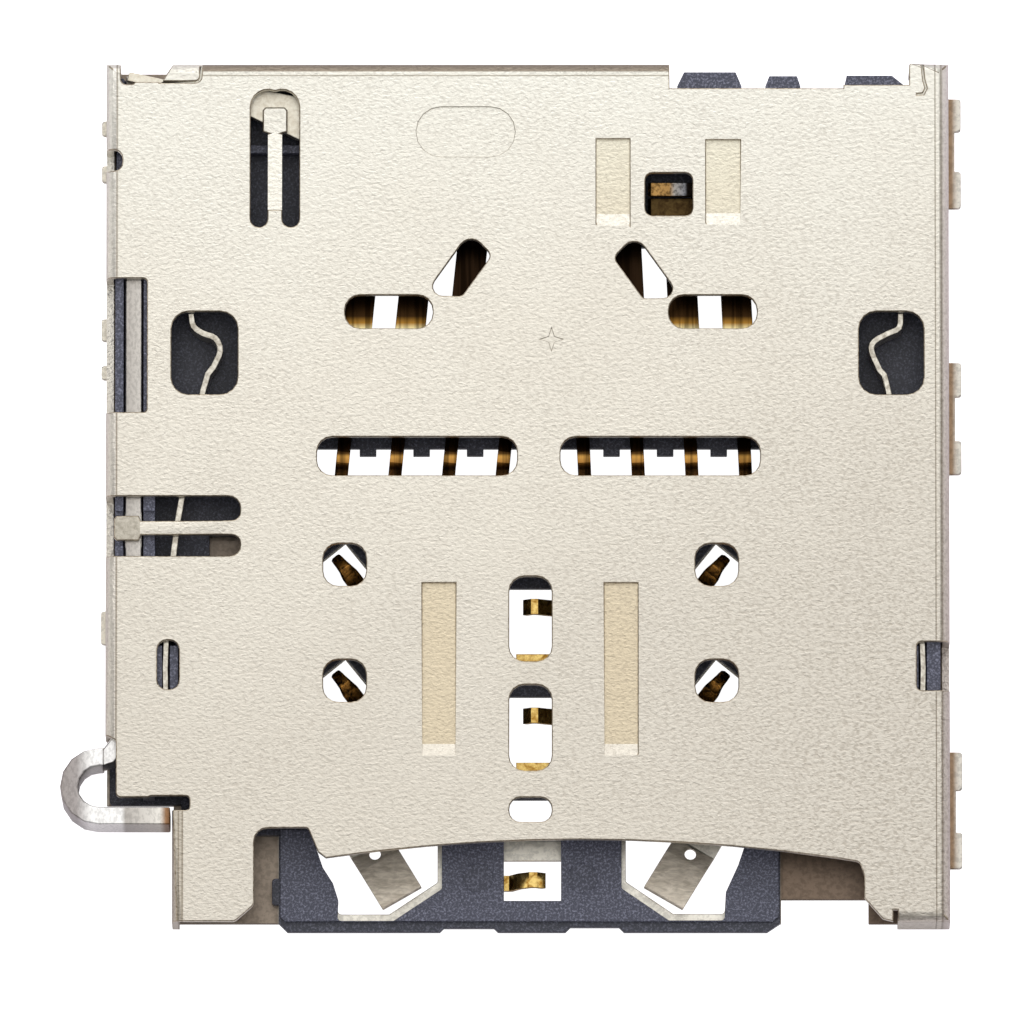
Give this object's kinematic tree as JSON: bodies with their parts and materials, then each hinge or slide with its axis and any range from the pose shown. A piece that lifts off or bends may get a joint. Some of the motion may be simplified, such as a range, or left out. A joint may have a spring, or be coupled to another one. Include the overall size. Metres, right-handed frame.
{
  "type": "sim card socket",
  "caption": "Low surface-mount card socket for a phone board: stamped metal cover over a black moulding with sprung gold contacts, and a side push rod with a lever that ejects the card tray.",
  "frame": {"origin": "middle of the socket's outline on the board face", "axes": "+Z away from the board, +X to the right with the tray's mouth towards -Y, hooked rod end on the -X side"},
  "size_m": [0.0184, 0.0179, 0.0014],
  "materials": {
    "shell_sheet": "satin nickel-plated stainless sheet with a fine pebbled grain",
    "moulding": "glass-filled liquid crystal polymer, matt blue-black with fine pale specks",
    "frame_sheet": "tin-plated copper alloy sheet, satin, brown at the cut edges",
    "gold": "gold-plated copper alloy strip",
    "spring_steel": "bright rolled stainless spring strip",
    "lever_sheet": "satin stainless sheet",
    "rod_steel": "blanked stainless strip with tumbled edges"
  },
  "bodies": {
    "socket": {"shell": "shell_sheet", "housing": "moulding", "base_frame": "frame_sheet", "latch_spring_left": "spring_steel", "latch_spring_right": "spring_steel", "lever_pivot": "spring_steel", "memory_contact_1": "gold", "memory_contact_2": "gold", "memory_contact_3": "gold", "memory_contact_4": "gold", "memory_contact_5": "gold", "memory_contact_6": "gold", "memory_contact_7": "gold", "memory_contact_8": "gold", "sim_contact_left_1": "gold", "sim_contact_left_2": "gold", "sim_contact_right_1": "gold", "sim_contact_right_2": "gold", "centre_contact_1": "gold", "centre_contact_2": "gold", "centre_contact_3": "gold", "detect_spring": "gold", "detect_contact": "gold"},
    "push_rod": {"push_rod": "rod_steel"},
    "ejector_lever": {"ejector_lever": "lever_sheet"}
  },
  "joints": [
    {"name": "rod_slide", "type": "slide", "parent": "socket", "child": "push_rod", "axis": [0, -1, 0], "range_m": [0, 0.00157]},
    {"name": "lever_turn", "type": "hinge", "parent": "socket", "child": "ejector_lever", "pos_m": [-0.0033, 0.00745, 0.00097], "axis": [0, 0, 1], "range_deg": [0, 20]}
  ],
  "couplings": [
    {"joint": "lever_turn", "follows": "rod_slide", "rad_per_m": 222.32}
  ]
}
